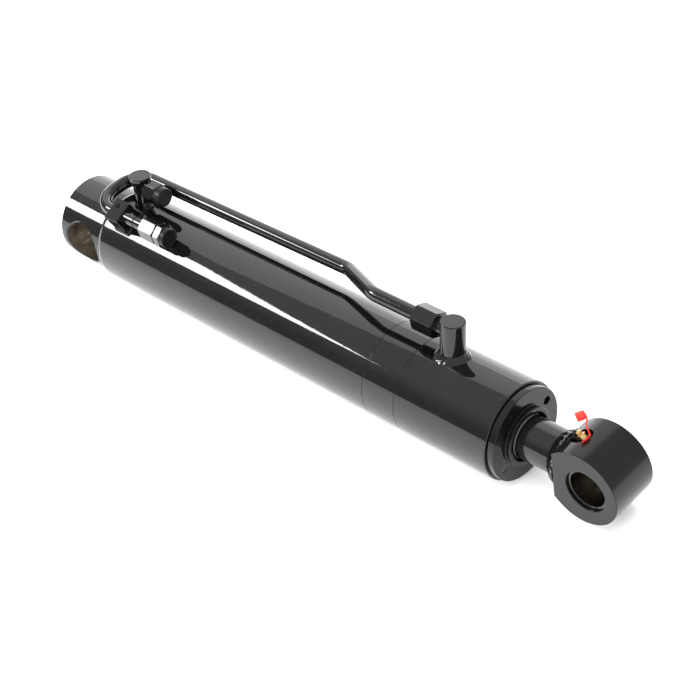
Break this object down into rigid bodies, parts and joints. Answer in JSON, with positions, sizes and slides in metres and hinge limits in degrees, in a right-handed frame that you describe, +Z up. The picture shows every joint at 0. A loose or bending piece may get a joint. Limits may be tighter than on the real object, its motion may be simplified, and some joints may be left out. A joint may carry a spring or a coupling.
{
  "type": "hydraulic cylinder",
  "caption": "Double-acting welded hydraulic cylinder with a cross-bored base, bushed rod eye, screw-in gland, steel transfer tube and plugged ports.",
  "frame": {"origin": "centre of the base pin bore, on the cylinder's axis", "axes": "+X along the cylinder towards the rod eye, Y along both pin bores, +Z up through the port posts"},
  "size_m": [0.7537, 0.1016, 0.141],
  "materials": {
    "gloss_black_paint": "gloss black enamel",
    "chrome_rod": "hard chrome, ground and polished",
    "machined_steel": "turned steel",
    "bush_steel": "hardened, greased steel",
    "seal_rubber": "matt black nitrile and polyurethane",
    "guide_ptfe": "filled PTFE and glass nylon",
    "plug_plastic": "matt black polyethylene",
    "brass": "plated brass",
    "red_plastic": "satin red polyethylene"
  },
  "bodies": {
    "barrel_assembly": {"base_block": "gloss_black_paint", "base_weld": "gloss_black_paint", "barrel_tube": "gloss_black_paint", "joint_ring": "gloss_black_paint", "head_sleeve": "gloss_black_paint", "gland": "gloss_black_paint", "rod_port_post": "gloss_black_paint", "rod_port_weld": "gloss_black_paint", "rod_port_nipple": "gloss_black_paint", "rod_union_nut": "gloss_black_paint", "transfer_tube": "gloss_black_paint", "base_port_post": "gloss_black_paint", "base_port_weld": "gloss_black_paint", "base_port_nipple": "gloss_black_paint", "base_port_adapter": "gloss_black_paint", "port_block": "gloss_black_paint", "block_weld": "gloss_black_paint", "block_plug_screw": "gloss_black_paint", "block_nipple": "gloss_black_paint", "block_adapter": "gloss_black_paint", "block_cap_nut": "gloss_black_paint", "tube_ferrule": "machined_steel", "wiper_seal": "seal_rubber", "rod_seal": "seal_rubber", "gland_o_ring": "seal_rubber", "gland_wear_ring": "guide_ptfe", "gland_backup_ring": "guide_ptfe", "base_port_cap": "plug_plastic", "block_port_plug": "plug_plastic"},
    "piston_seals": {"piston_seal": "seal_rubber", "piston_wear_ring_1": "guide_ptfe", "piston_wear_ring_2": "guide_ptfe"},
    "rod_assembly": {"rod": "chrome_rod", "piston": "machined_steel", "piston_nut": "machined_steel", "piston_o_ring": "seal_rubber", "eye_weld": "gloss_black_paint", "rod_eye": "gloss_black_paint", "eye_bush": "bush_steel", "grease_nipple": "brass", "cap_ring": "red_plastic"},
    "grease_cap_swing": {"grease_cap": "red_plastic"}
  },
  "joints": [
    {"name": "rod_slide", "type": "slide", "parent": "barrel_assembly", "child": "piston_seals", "axis": [1, 0, 0], "range_m": [0, 0.3556]},
    {"name": "rod_swivel", "type": "hinge", "parent": "piston_seals", "child": "rod_assembly", "pos_m": [0.3, 0, 0], "axis": [1, 0, 0], "continuous": true},
    {"name": "cap_swing", "type": "hinge", "parent": "rod_assembly", "child": "grease_cap_swing", "pos_m": [0.66374, 0.00522, 0.04587], "axis": [0.6226, -0.6784, 0.39], "range_deg": [0, 46]}
  ]
}
